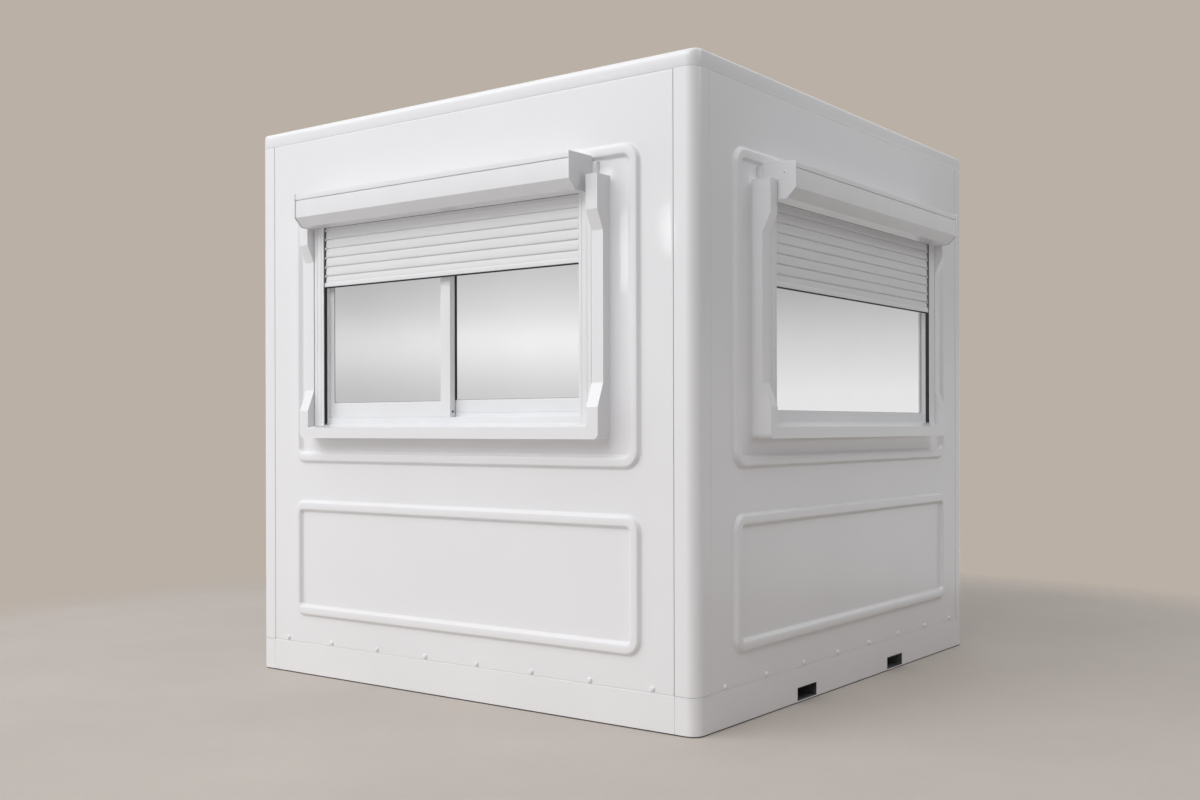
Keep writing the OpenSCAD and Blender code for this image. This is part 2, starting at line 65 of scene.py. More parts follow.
roof_low, roof_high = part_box("roof_cap")
HALF_W, HALF_D, TOP = roof_high.x / M, roof_high.y / M, roof_high.z / M
PANEL_TOP = roof_low.z / M
PLINTH_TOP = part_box("plinth_front")[1].z / M
POST_W = HALF_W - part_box("plinth_front")[1].x / M
WALL_T = 55.0
CORNER_R = 45.0

# Each face as its turn about the vertical and the distance of its plane from the middle
FACES = {"front": (0, HALF_D), "right": (90, HALF_W), "back": (180, HALF_D), "left": (-90, HALF_W)}
WINDOW_FACES = ("front", "right", "left")


def half_width(face):
    """Half the building's width along a face."""
    return HALF_W if face in ("front", "back") else HALF_D


def face_matrix(face):
    """From face coordinates (x, -p, z) in millimetres to the frame in metres."""
    turn, distance = FACES[face]
    to_frame = Matrix.Rotation(math.radians(turn), 4, "Z") @ Matrix.Translation((0, -distance, 0))
    return Matrix.Scale(M, 4) @ to_frame


def on_face(node, face):
    """Lowest and highest corner of a CAD node in face coordinates (x, p, z)."""
    back = face_matrix(face).inverted()
    low, high = (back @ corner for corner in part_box(node))
    x0, x1 = sorted((low.x, high.x))
    y0, y1 = sorted((low.y, high.y))
    return (x0, -y1, low.z), (x1, -y0, high.z)


# --- Camera --------------------------------------------------------------------------------

def add_camera():
    """A level camera off the front right corner; its place is in metres."""
    yaw, roll = math.radians(36.70), math.radians(-0.137)
    forward = Vector((-math.sin(yaw), math.cos(yaw), 0))
    right = Vector((math.cos(yaw), math.sin(yaw), 0))
    up = Vector((0, 0, 1))
    x_axis = right * math.cos(roll) + up * math.sin(roll)
    y_axis = up * math.cos(roll) - right * math.sin(roll)
    data = bpy.data.cameras.new("camera")
    data.lens = 39.12
    data.sensor_width = 36.0
    data.shift_y = 0.0226
    camera = bpy.data.objects.new("camera", data)
    basis = Matrix((x_axis, y_axis, -forward)).transposed().to_4x4()
    camera.matrix_world = Matrix.Translation((3.583, -5.032, 1.0796)) @ basis
    bpy.context.scene.collection.objects.link(camera)
    bpy.context.scene.camera = camera


add_camera()

# --- Materials -----------------------------------------------------------------------------

class Nodes:
    """A short way to wire a node tree."""

    def __init__(self, tree):
        self.tree = tree

    def add(self, kind, values=None, **settings):
        node = self.tree.nodes.new(kind)
        for key, value in settings.items():
            setattr(node, key, value)
        for key, value in (values or {}).items():
            if isinstance(value, bpy.types.NodeSocket):
                self.tree.links.new(value, node.inputs[key])
            else:
                node.inputs[key].default_value = value
        return node

    def noise(self, vector, scale, detail=2.0, rough=0.5):
        return self.add("ShaderNodeTexNoise", {"Vector": vector, "Scale": scale, "Detail": detail,
                                               "Roughness": rough}).outputs[0]

    def spread(self, value, low, high, start=0.0, end=1.0):
        """Maps a value from one range to another."""
        return self.add("ShaderNodeMapRange",
                        {0: value, 1: start, 2: end, 3: low, 4: high}).outputs[0]

    def math(self, operation, a, b):
        return self.add("ShaderNodeMath", {0: a, 1: b}, operation=operation).outputs[0]

    def mix(self, factor, a, b, blend="MIX"):
        return self.add("ShaderNodeMix", {0: factor, 6: a, 7: b}, data_type="RGBA",
                        blend_type=blend).outputs[2]

    def stretched(self, vector, scale):
        return self.add("ShaderNodeMapping", {"Vector": vector, "Scale": scale}).outputs[0]

    def bump(self, height, distance, strength, normal=None):
        values = {"Height": height, "Distance": distance, "Strength": strength}
        if normal is not None:
            values["Normal"] = normal
        return self.add("ShaderNodeBump", values).outputs[0]


def new_material(name, color, **sockets):
    """A Principled material and its Nodes, with object coordinates in metres."""
    material = bpy.data.materials.new(name)
    material.use_nodes = True
    shader = material.node_tree.nodes["Principled BSDF"]
    shader.inputs["Base Color"].default_value = (*color, 1)
    for key, value in sockets.items():
        shader.inputs[key.replace("_", " ")].default_value = value
    nodes = Nodes(material.node_tree)
    place = nodes.add("ShaderNodeTexCoord").outputs["Object"]
    return material, nodes, shader, place


def link(nodes, output, shader, socket):
    nodes.tree.links.new(output, shader.inputs[socket])


def link_tinted(nodes, base, tone, shader):
    """Multiplies the base colour by a tone near 1."""
    link(nodes, nodes.mix(1.0, (*base, 1), tone, "MULTIPLY"), shader, "Base Color")


def gelcoat_material():
    """Glossy moulded skin: slow waves over it and a faint uneven polish."""
    base = (0.855, 0.853, 0.874)
    material, n, shader, place = new_material(
        "gelcoat", base, IOR=1.5, Coat_Weight=0.25, Coat_Roughness=0.06)
    cloud = n.noise(place, 1.6, 2.0)
    tone = n.spread(cloud, 0.985, 1.008, 0.3, 0.7)
    link_tinted(n, base, tone, shader)
    polish = n.noise(place, 5.0, 2.0)
    link(n, n.spread(polish, 0.285, 0.32, 0.3, 0.7), shader, "Roughness")
    wave = n.bump(n.noise(place, 1.8, 0.0), 0.0008, 0.4)
    ripple = n.bump(n.noise(place, 9.0, 0.0), 0.0002, 0.25, wave)
    link(n, ripple, shader, "Normal")
    return material


def powder_material():
    """Satin powder coat on aluminium."""
    base = (0.835, 0.842, 0.862)
    material, n, shader, place = new_material("white_aluminium", base)
    tone = n.spread(n.noise(place, 5.0, 2.0), 0.975, 1.015, 0.3, 0.7)
    link_tinted(n, base, tone, shader)
    link(n, n.spread(n.noise(place, 60.0, 3.0), 0.34, 0.46, 0.3, 0.7), shader, "Roughness")
    link(n, n.bump(n.noise(place, 1500.0, 2.0), 0.00004, 0.6), shader, "Normal")
    return material


def slat_material():
    """Coil-coated slats, with a faint run along their length."""
    base = (0.795, 0.795, 0.808)
    material, n, shader, place = new_material("shutter_slats", base)
    along = n.stretched(place, (1.0, 1.0, 60.0))
    tone = n.spread(n.noise(along, 4.0, 3.0), 0.96, 1.02, 0.3, 0.7)
    link_tinted(n, base, tone, shader)
    link(n, n.spread(n.noise(along, 9.0, 3.0), 0.36, 0.48, 0.3, 0.7), shader, "Roughness")
    link(n, n.bump(n.noise(place, 1100.0, 2.0), 0.00004, 0.6), shader, "Normal")
    return material


def glass_material():
    """Reflective window glass: a mirror-like face with a trace of haze and float waves."""
    material, n, shader, place = new_material("glass", (0.86, 0.87, 0.88), Metallic=1.0)
    haze = n.noise(place, 6.0, 4.0, 0.6)
    link(n, n.spread(haze, 0.03, 0.06, 0.35, 0.75), shader, "Roughness")
    tint = n.mix(n.spread(haze, 0.0, 1.0, 0.35, 0.75),
                 (0.868, 0.858, 0.864, 1), (0.853, 0.845, 0.85, 1))
    link(n, tint, shader, "Base Color")
    link(n, n.bump(n.noise(place, 2.5, 1.0), 0.0004, 0.25), shader, "Normal")
    return material


def rubber_material():
    """Matt black rubber with a fine grain."""
    material, n, shader, place = new_material("rubber_seal", (0.018, 0.018, 0.02))
    grain = n.noise(place, 700.0, 3.0)
    link(n, n.spread(grain, 0.62, 0.85, 0.3, 0.7), shader, "Roughness")
    link(n, n.mix(grain, (0.008, 0.008, 0.009, 1), (0.018, 0.018, 0.02, 1)), shader, "Base Color")
    link(n, n.bump(grain, 0.0002, 0.5), shader, "Normal")
    return material


def galvanised_material():
    """Galvanised steel with its spangle and stains; its tones are darkened, partly as weathering
    and partly as painted shade for the inside of the fork pockets.
    """
    material, n, shader, place = new_material("galvanised_steel", (0.5, 0.51, 0.52), Metallic=0.85)
    spangle = n.add("ShaderNodeTexVoronoi", {"Vector": place, "Scale": 90.0}).outputs["Color"]
    flake = n.add("ShaderNodeSeparateColor", {0: spangle}).outputs[0]
    stain = n.noise(place, 7.0, 4.0, 0.6)
    # Dark tones: weathered steel, and painted shade for the inside of the fork pockets
    weathered_and_shaded_zinc = n.mix(flake, (0.18, 0.184, 0.188, 1), (0.25, 0.254, 0.258, 1))
    stains_and_painted_shade = n.mix(n.spread(stain, 0.0, 0.5, 0.45, 0.75), weathered_and_shaded_zinc, (0.15, 0.145, 0.14, 1))
    link(n, stains_and_painted_shade, shader, "Base Color")
    link(n, n.spread(flake, 0.38, 0.6), shader, "Roughness")
    link(n, n.bump(stain, 0.0004, 0.3), shader, "Normal")
    return material


def board_material():
    """Sealed floor board with a fine speckle and scuffs."""
    material, n, shader, place = new_material("floor_board", (0.4, 0.37, 0.33))
    speckle = n.noise(place, 260.0, 3.0, 0.7)
    scuff = n.noise(n.stretched(place, (3.0, 14.0, 3.0)), 3.0, 5.0, 0.65)
    board = n.mix(n.spread(speckle, 0.0, 1.0, 0.4, 0.6),
                  (0.32, 0.295, 0.26, 1), (0.47, 0.44, 0.4, 1))
    worn = n.mix(n.spread(scuff, 0.0, 0.35, 0.5, 0.75), board, (0.56, 0.54, 0.5, 1))
    link(n, worn, shader, "Base Color")
    link(n, n.spread(scuff, 0.45, 0.7, 0.3, 0.7), shader, "Roughness")
    link(n, n.bump(speckle, 0.0003, 0.4), shader, "Normal")
    return material


def handle_material():
    """Satin stainless steel, brushed along the lever."""
    material, n, shader, place = new_material("handle_metal", (0.6, 0.6, 0.61), Metallic=1.0)
    brush = n.noise(n.stretched(place, (8.0, 400.0, 400.0)), 4.0, 4.0, 0.6)
    link(n, n.spread(brush, 0.3, 0.42, 0.3, 0.7), shader, "Roughness")
    link(n, n.mix(brush, (0.53, 0.53, 0.54, 1), (0.66, 0.66, 0.67, 1)), shader, "Base Color")
    link(n, n.bump(brush, 0.00005, 0.4), shader, "Normal")
    return material


MATERIALS = {
    "gelcoat": gelcoat_material(),
    "white_aluminium": powder_material(),
    "shutter_slats": slat_material(),
    "glass": glass_material(),
    "rubber_seal": rubber_material(),
    "galvanised_steel": galvanised_material(),
    "floor_board": board_material(),
    "handle_metal": handle_material(),
}

# --- Mesh helpers --------------------------------------------------------------------------

def new_object(name, mesh):
    """A smooth-shaded object of the mesh."""
    mesh.polygons.foreach_set("use_smooth", [True] * len(mesh.polygons))
    obj = bpy.data.objects.new(name, mesh)
    bpy.context.scene.collection.objects.link(obj)
    return obj


def finish_piece(obj, slot, nodes):
    """Gives a piece its material and body, and hides the CAD nodes that it stands for."""
    obj.data.materials.clear()
    obj.data.materials.append(MATERIALS[slot])
    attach(obj, "root")
    if nodes:
        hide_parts(*nodes)


def add_modifiers(obj, width, segments, angle=30.0):
    """Rounds the sharp edges and keeps the flat faces flat in shading."""
    bevel = obj.modifiers.new("edges", "BEVEL")
    bevel.width = width * M
    bevel.segments = segments
    bevel.limit_method = "ANGLE"
    bevel.angle_limit = math.radians(angle)
    bevel.miter_outer = "MITER_ARC"
    weighted = obj.modifiers.new("normals", "WEIGHTED_NORMAL")
    weighted.keep_sharp = True


def circle(a, b, r, turns):
    """Points of a circle round (a, b)."""
    return [(a + r * math.cos(2 * math.pi * i / turns), b + r * math.sin(2 * math.pi * i / turns))
            for i in range(turns)]


class Form:
    """Closed shells of one piece, in face coordinates (x, p, z)."""

    def __init__(self):
        self.verts = []
        self.faces = []

    def add(self, verts, faces):
        start = len(self.verts)
        self.verts.extend(verts)
        self.faces.extend([[i + start for i in f] for f in faces])

    def loft(self, loops, closed=False):
        """Skins a list of loops that have as many points each, and caps them or joins the ends."""
        count = len(loops[0])
        verts = [point for loop in loops for point in loop]
        faces = []
        for a in range(len(loops) if closed else len(loops) - 1):
            b = (a + 1) % len(loops)
            for i in range(count):
                j = (i + 1) % count
                faces.append((a * count + i, a * count + j, b * count + j, b * count + i))
        if not closed:
            faces.append(tuple(range(count)))
            faces.append(tuple(range(len(verts) - count, len(verts))))
        self.add(verts, faces)

    def along_x(self, section, x0, x1):
        """A bar along x from its (p, z) section."""
        self.loft([[(x, p, z) for p, z in section] for x in (x0, x1)])

    def along_z(self, section, z0, z1):
        """A bar along z from its (x, p) section."""
        self.loft([[(x, p, z) for x, p in section] for z in (z0, z1)])

    def block(self, x0, x1, p0, p1, z0, z1):
        self.along_x([(p0, z0), (p1, z0), (p1, z1), (p0, z1)], x0, x1)

    def ring(self, x0, x1, z0, z1, width, p0, p1):
        """A flat square-cornered ring inside a rectangle."""
        corners = [(x0, z0, 1, 1), (x1, z0, -1, 1), (x1, z1, -1, -1), (x0, z1, 1, -1)]
        loops = [[(x, p0, z), (x, p1, z), (x + sx * width, p1, z + sz * width),
                  (x + sx * width, p0, z + sz * width)] for x, z, sx, sz in corners]
        self.loft(loops, closed=True)

    def lathe(self, profile, x, z, turns=24, p_axis=0.0):
        """A turned shape whose axis stands on the face, from (radius, p) points."""
        self.loft([[(a, p_axis + p, b) for a, b in circle(x, z, r, turns)] for r, p in profile])

    def build(self, name, face, slot, nodes=(), bevel=0.0, segments=2, sharp=35.0):
        """Makes the piece; without a face its points are in the frame's own axes."""
        mesh = bpy.data.meshes.new(name)
        place = face_matrix(face) if face else Matrix.Scale(M, 4)
        points = [place @ Vector((x, -p, z)) if face else place @ Vector((x, p, z))
                  for x, p, z in self.verts]
        mesh.from_pydata(points, [], self.faces)
        bm = bmesh.new()
        bm.from_mesh(mesh)
        bmesh.ops.remove_doubles(bm, verts=bm.verts, dist=1e-6)
        bmesh.ops.recalc_face_normals(bm, faces=bm.faces)
        bm.to_mesh(mesh)
        bm.free()
        obj = new_object(name, mesh)
        if bevel:
            add_modifiers(obj, bevel, segments)
        else:
            mesh.set_sharp_from_angle(angle=math.radians(sharp))
        finish_piece(obj, slot, nodes)


def use_material(node, slot):
    """Gives a CAD node that shows as it is the material of its slot."""
    for material_slot in frame["nodes"][node].material_slots:
        material_slot.material = MATERIALS[slot]


def softened(node, slot, width, segments=3, angle=30.0, lift=0.0):
    """A copy of a CAD node's shape with its sharp edges rounded and its foot raised by lift."""
    bm = bmesh.new()
    bm.from_mesh(frame["nodes"][node].data)
    bmesh.ops.remove_doubles(bm, verts=bm.verts, dist=1e-5)
    bmesh.ops.join_triangles(bm, faces=bm.faces, angle_face_threshold=math.radians(0.5),
                             angle_shape_threshold=math.pi)
    bmesh.ops.recalc_face_normals(bm, faces=bm.faces)
    for v in bm.verts:
        v.co.z = max(v.co.z, lift * M)
    mesh = bpy.data.meshes.new(node + "_soft")
    bm.to_mesh(mesh)
    bm.free()
    obj = new_object(node + "_soft", mesh)
    add_modifiers(obj, width, segments, angle)
    finish_piece(obj, slot, [node])


def arc(cx, cy, r, start, end, steps):
    """Points of an arc, ends included, with its angles in degrees."""
    return [(cx + r * math.cos(math.radians(start + (end - start) * i / steps)),
             cy + r * math.sin(math.radians(start + (end - start) * i / steps)))
            for i in range(steps + 1)]


def rounded_section(points, steps=4):
    """Rounds the corners of an outline given as (a, b, radius)."""
    out = []
    count = len(points)
    for i, (a, b, r) in enumerate(points):
        if not r:
            out.append((a, b))
            continue
        here = np.array((a, b), float)
        before = np.array(points[i - 1][:2], float) - here
        after = np.array(points[(i + 1) % count][:2], float) - here
        u, v = before / np.linalg.norm(before), after / np.linalg.norm(after)
        half = math.acos(max(-1.0, min(1.0, float(u @ v)))) / 2
        reach = r / math.tan(half)
        centre = here + (u + v) / np.linalg.norm(u + v) * r / math.sin(half)
        first, last = here + u * reach - centre, here + v * reach - centre
        angle = math.pi - 2 * half
        for s in range(steps + 1):
            t = s / steps
            spoke = math.sin((1 - t) * angle) * first + math.sin(t * angle) * last
            out.append(tuple(centre + spoke / math.sin(angle)))
    return out


# --- Moulded panels ------------------------------------------------------------------------

BEAD_W, BEAD_H, BEAD_SLOPE = 54.0, 16.0, 15.5
BEAD_CROWN, CROWN_REACH = 0.8, 12.0
GROOVE_W, GROOVE_DEPTH, SEAM_R = 1.5, 1.6, 1.5
# Lower edge, upper edge and corner radius of the beads round a window and below it
WINDOW_BEAD, LOW_BEAD = (925.0, 2102.0, 72.0), (256.0, 766.0, 64.0)
# The cove that leads from the wall up to a window's surround
COVE_TOP, COVE_R, COVE_W, COVE_RISE = 1988.0, 22.0, 44.0, 17.0


def outline_distance(x, z, x0, x1, z0, z1, r):
    """Distance outside a rounded rectangle; negative inside."""
    qx = np.maximum(x0 + r - x, x - x1 + r)
    qz = np.maximum(z0 + r - z, z - z1 + r)
    return np.hypot(np.maximum(qx, 0), np.maximum(qz, 0)) + np.minimum(np.maximum(qx, qz), 0) - r


def eased(t):
    t = np.clip(t, 0, 1)
    return t * t * (3 - 2 * t)


def quarter_round(t):
    """Falls from 1 to 0 along a quarter circle as t goes from 0 to 1."""
    t = np.clip(t, 0, 1)
    return 1 - np.sqrt(1 - (1 - t) ** 2)


class Relief:
    """The height of a moulded panel's skin; beads and cove are rounded rectangles."""

    def __init__(self, x0, x1, z0, z1, beads=(), cove=None, seam=True):
        self.edge = (x0, x1, z0, z1)
        self.beads = beads
        self.cove = cove
        self.seam = seam

    def height(self, x, z):
        h = np.zeros(np.broadcast(x, z).shape)
        for x0, x1, z0, z1, r in self.beads:
            mid = BEAD_W / 2
            d = np.abs(outline_distance(x, z, x0 + mid, x1 - mid, z0 + mid, z1 - mid, r - mid))
            crown = BEAD_CROWN * (1 - np.clip(d / CROWN_REACH, 0, 1) ** 2)
            h = h + (BEAD_H - BEAD_CROWN) * eased((mid + 0.5 - d) / BEAD_SLOPE) + crown
        if self.cove:
            d = outline_distance(x, z, *self.cove)
            h = h + np.where(d > -6.0, COVE_RISE * quarter_round((d + 3.0) / COVE_W), 0.0)
        d = -outline_distance(x, z, *self.edge, 6.0)
        if self.seam:
            lip = -SEAM_R * quarter_round((d - GROOVE_W) / SEAM_R)
            return np.where(d < GROOVE_W - 0.3, -GROOVE_DEPTH, h + lip)
        return h - SEAM_R * quarter_round(d / SEAM_R)

    def normals(self, x, z):
        step = 0.35
        hx = (self.height(x + step, z) - self.height(x - step, z)) / (2 * step)
        hz = (self.height(x, z + step) - self.height(x, z - step)) / (2 * step)
        normal = np.stack([-hx, -np.ones_like(hx), -hz], -1)
        return normal / np.linalg.norm(normal, axis=-1, keepdims=True)


def grid_lines(low, high, dense, keep=(), coarse=90.0):
    """Sorted lines over a range: fine ones in the dense spans, few elsewhere, all of keep."""
    values = set(np.arange(low, high, coarse)) | {low, high}
    for start, end, _ in dense:
        values -= {v for v in values if start < v < end and v not in (low, high)}
    for start, end, step in dense:
        count = max(2, round((end - start) / step) + 1)
        values |= {float(v) for v in np.linspace(start, end, count) if low <= v <= high}
    out = []
    for v in sorted(values):
        if all(abs(v - k) > 1.2 for k in keep) and (not out or v - out[-1] > 0.25):
            out.append(v)
    return np.array(sorted(out + list(keep)))


def edge_span(position, inward):
    """The fine lines of a seam, from the panel's edge inwards."""
    stops = [0, GROOVE_W - 0.35, GROOVE_W, GROOVE_W + 0.3, GROOVE_W + 1.0, GROOVE_W + SEAM_R,
             8.0]
    return [(position + inward * s, position + inward * s, 1.0) for s in stops]


def panel_grid(relief, x_dense, z_dense, holes):
    """The grid of a panel's skin, and which of its cells are solid."""
    x0, x1, z0, z1 = relief.edge
    keep_x = [v for hole in holes for v in hole[:2]]
    keep_z = [v for hole in holes for v in hole[2:] if z0 < v < z1]
    xs = grid_lines(x0, x1, x_dense + edge_span(x0, 1) + edge_span(x1, -1), keep_x)
    zs = grid_lines(z0, z1, z_dense + edge_span(z0, 1) + edge_span(z1, -1), keep_z)
    mid_x, mid_z = (xs[:-1] + xs[1:]) / 2, (zs[:-1] + zs[1:]) / 2
    solid = np.ones((len(mid_z), len(mid_x)), bool)
    for a, b, c, d in holes:
        solid &= ~((mid_x > a) & (mid_x < b) & (mid_z > c)[:, None] & (mid_z < d)[:, None])
    return *np.meshgrid(xs, zs), solid


def close_panel(bm, thickness):
    """Extrudes the skin's rims to the back, which makes the reveals, and fills the back.

    The extrude lists its faces in another order each run, so they are sorted by place.
    """
    bm.faces.index_update()
    skin_faces = len(bm.faces)
    rim = [e for e in bm.edges if e.is_boundary]
    sides = bmesh.ops.extrude_edge_only(bm, edges=rim)["geom"]
    for v in sides:
        if isinstance(v, bmesh.types.BMVert):
            v.co.y = thickness
    back_edges = [e for e in sides if isinstance(e, bmesh.types.BMEdge)
                  and all(abs(v.co.y - thickness) < 1e-6 for v in e.verts)]
    bmesh.ops.triangle_fill(bm, use_beauty=True, use_dissolve=False, edges=back_edges,
                            normal=(0, 1, 0))
    bmesh.ops.recalc_face_normals(bm, faces=bm.faces)
    added = sorted(bm.faces[skin_faces:], key=lambda f: f.calc_center_median()[:])
    for index, f in enumerate(added, skin_faces):
        f.index = index
    bm.faces.sort()


def moulded_panel(name, face, node, relief, x_dense, z_dense, holes, thickness):
    """A closed panel: a height-field skin with holes, its reveals and a flat back."""
    gx, gz, solid = panel_grid(relief, x_dense, z_dense, holes)
    h = relief.height(gx, gz)
    used = np.zeros(gx.shape, bool)
    for dz, dx in ((0, 0), (0, 1), (1, 0), (1, 1)):
        used[dz:dz + solid.shape[0], dx:dx + solid.shape[1]] |= solid
    index = np.where(used, np.cumsum(used).reshape(used.shape) - 1, -1)
    bm = bmesh.new()
    verts = [bm.verts.new((x, -y, z)) for x, y, z in zip(gx[used], h[used], gz[used])]
    for r, c in zip(*np.nonzero(solid)):
        corners = (index[r, c], index[r, c + 1], index[r + 1, c + 1], index[r + 1, c])
        bm.faces.new([verts[i] for i in corners])
    skin_faces = len(bm.faces)
    close_panel(bm, thickness)
    mesh = bpy.data.meshes.new(name)
    place = face_matrix(face)
    bm.transform(place)
    bm.to_mesh(mesh)
    bm.free()
    obj = new_object(name, mesh)
    skin_normals = relief.normals(gx, gz)[used] @ (np.array(place.to_3x3()) / M).T
    loops = np.empty((len(mesh.loops), 3))
    for polygon in mesh.polygons:
        span = slice(polygon.loop_start, polygon.loop_start + polygon.loop_total)
        if polygon.index < skin_faces:
            loops[span] = skin_normals[list(polygon.vertices)]
        else:
            loops[span] = polygon.normal
    mesh.normals_split_custom_set(loops.tolist())
    finish_piece(obj, "gelcoat", [node])


def bead_spans(low, high, r):
    """Dense spans across a bead ring's two runs along one axis, corners included."""
    return [(low - 3, low + r + 2, 3.0), (high - r - 2, high + 3, 3.0)]


def window_wall(face, inset):
    """A wall with a bead round its window, another below it and a cove at the surround."""
    half = half_width(face)
    edge = half - POST_W
    surround_low, surround_high = on_face(face + "_surround", face)
    opening_low, opening_high = on_face(face + "_window_frame", face)
    rim = (-half + inset, half - inset, *WINDOW_BEAD)
    low = (-half + inset, half - inset, *LOW_BEAD)
    cove = (surround_low[0], surround_high[0], surround_low[2], COVE_TOP, COVE_R)
    relief = Relief(-edge, edge, PLINTH_TOP, PANEL_TOP, (rim, low), cove)
    x_dense = bead_spans(rim[0], rim[1], rim[4])
    x_dense += [(cove[0] - COVE_W, cove[0] + 8, 3.5), (cove[1] - 8, cove[1] + COVE_W, 3.5)]
    z_dense = bead_spans(rim[2], rim[3], rim[4]) + bead_spans(low[2], low[3], low[4])
    z_dense += [(cove[2] - COVE_W, cove[2] + 24, 3.5), (cove[3] - 24, cove[3] + COVE_W, 3.5)]
    hole = (opening_low[0], opening_high[0], opening_low[2], opening_high[2])
    moulded_panel("panel_" + face, face, "wall_" + face, relief, x_dense, z_dense, [hole], WALL_T)


window_wall("front", 230.0)
window_wall("right", 243.0)
window_wall("left", 243.0)


def back_wall():
    """A plain wall with the doorway cut through it."""
    edge = HALF_W - POST_W
    low, high = on_face("door_frame", "back")
    relief = Relief(-edge, edge, PLINTH_TOP, PANEL_TOP)
    hole = (low[0], high[0], low[2] - 1.0, high[2])
    moulded_panel("panel_back", "back", "wall_back", relief, [], [], [hole], WALL_T)


back_wall()


def door_leaf():
    """The leaf, with a raised bead in its upper and its lower half."""
    low, high = on_face("door_leaf", "back")
    inset, gap, r = 95.0, 110.0, 64.0
    middle = (low[2] + high[2]) / 2
    beads = [(low[0] + inset, high[0] - inset, low[2] + inset, middle - gap / 2, r),
             (low[0] + inset, high[0] - inset, middle + gap / 2, high[2] - inset, r)]
    relief = Relief(low[0], high[0], low[2], high[2], beads, seam=False)
    x_dense = bead_spans(beads[0][0], beads[0][1], r)
    z_dense = bead_spans(beads[0][2], beads[0][3], r) + bead_spans(beads[1][2], beads[1][3], r)
    moulded_panel("door_skin", "back", "door_leaf", relief, x_dense, z_dense, [], -low[1])


door_leaf()

# --- Roof, posts and plinth ----------------------------------------------------------------

def outline_loop(inset, z, r, side=None, runs=6, steps=10):
    """A rounded rectangle round the building at one height; side is a sides' inset of its own."""
    hx, hy = HALF_W - (inset if side is None else side), HALF_D - inset
    points = []
    for sx, sy, start, goal in ((1, -1, -90, (hx, hy - r)), (1, 1, 0, (-hx + r, hy)),
                                (-1, 1, 90, (-hx, -hy + r)), (-1, -1, 180, (hx - r, -hy))):
        points += arc(sx * (hx - r), sy * (hy - r), r, start, start + 90, steps)
        x, y = points[-1]
        points += [(x + (goal[0] - x) * i / runs, y + (goal[1] - y) * i / runs)
                   for i in range(1, runs)]
    return [(x, y, z) for x, y in points]


def roof():
    """The cap: a rim whose shoulder is rounder at front and back, and a gently crowned top."""
    shoulder, side_r, crown = 24.0, 9.0, 2.5
    profile = [(60.0, PANEL_TOP + 20, None), (55.0, PANEL_TOP, None), (3.0, PANEL_TOP, None),
               (0.9, PANEL_TOP + 0.9, None), (0.0, PANEL_TOP + 3, None)]
    for i in range(11):
        a = math.radians(9 * i)
        drop = shoulder * (1 - math.sin(a))
        side = side_r - math.sqrt(side_r ** 2 - max(side_r - drop, 0.0) ** 2)
        profile.append((shoulder * (1 - math.cos(a)), TOP - crown - drop, side))
    for inset in (80, 200, 380, 600, 850, 1050, 1150):
        lift = math.sin(math.pi / 2 * (inset - 40) / 1110) ** 0.8
        profile.append((inset, TOP - crown + crown * lift, None))
    form = Form()
    form.loft([outline_loop(inset, z, max(CORNER_R - inset, 4.0), side)
               for inset, z, side in profile])
    form.build("roof", None, "gelcoat", ["roof_cap"], sharp=50.0)


roof()


def post_outline(depth):
    """The L section of a corner post, with a rounded outer corner and legs of this depth."""
    soft, w = 1.2, POST_W
    return rounded_section([
        (HALF_W - w, -HALF_D, soft), (HALF_W, -HALF_D, CORNER_R), (HALF_W, -HALF_D + w, soft),
        (HALF_W - depth, -HALF_D + w, 0), (HALF_W - depth, -HALF_D + depth, 0),
        (HALF_W - w, -HALF_D + depth, 0)], steps=12)


def post(name, node, sx, sy):
    """A corner post in two lengths, with a thin dark joint between them at the plinth's top."""
    low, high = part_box(node)
    foot, shaft = post_outline(30.0), post_outline(WALL_T)
    form = Form()
    for outline, z0, z1 in ((foot, low.z / M, PLINTH_TOP), (shaft, PLINTH_TOP + 1.0, high.z / M)):
        form.loft([[(sx * x, -sy * y, z) for x, y in outline] for z in (z0, z1)])
    form.build(name, None, "gelcoat", [node], bevel=1.0, segments=2)


for side_x, word_x in ((1, "right"), (-1, "left")):
    for side_y, word_y in ((-1, "front"), (1, "back")):
        post(f"post_{word_y}_{word_x}", f"corner_post_{word_y}_{word_x}", side_x, side_y)

# The plinths stand 4 mm up on a black strip of painted contact shadow
for name in ("plinth_front", "plinth_back", "plinth_left", "plinth_right"):
    softened(name, "gelcoat", 2.6, 3, lift=4.0)


def joint_seal(face):
    """Dark sealant in the open joints between a wall's panel and its corner posts."""
    edge = half_width(face) - POST_W
    form = Form()
    for side in {"right": (1,), "left": (-1,)}.get(face, (-1, 1)):
        a, b = sorted((side * edge, side * (edge - 0.9)))
        form.block(a, b, -1.5, -0.5, PLINTH_TOP, PANEL_TOP)
    form.build("joint_seal_" + face, face, "rubber_seal")


def pocket_lining(face):
    """Thin steel edging that carries each pocket tube out to the plinth's face; its darkened steel
    also paints the shade inside the pocket mouths.
    """
    low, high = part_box("fork_pockets")
    wall, wide = 6.2, 159.6
    outer, tube = high.y / M - wall, HALF_W - high.x / M
    form = Form()
    for x0, x1 in ((-outer, wide - outer), (outer - wide, outer)):
        form.ring(x0, x1, low.z / M + wall, high.z / M - wall, 2.0, -tube, -1.2)
    form.build("pocket_lining_" + face, face, "galvanised_steel", bevel=0.4, segments=1)


def base_seal():
    """A black strip under the raised plinth, set back from its face, that paints the dark contact
    shadow line at the floor.
    """
    form = Form()
    form.loft([outline_loop(inset, z, CORNER_R - 5.0) for inset, z in
               ((5.0, 0.0), (5.0, 4.5), (26.0, 4.5), (26.0, 0.0))], closed=True)
    form.build("base_seal", None, "rubber_seal")


for name in FACES:
    joint_seal(name)
for name in ("right", "left"):
    pocket_lining(name)
base_seal()


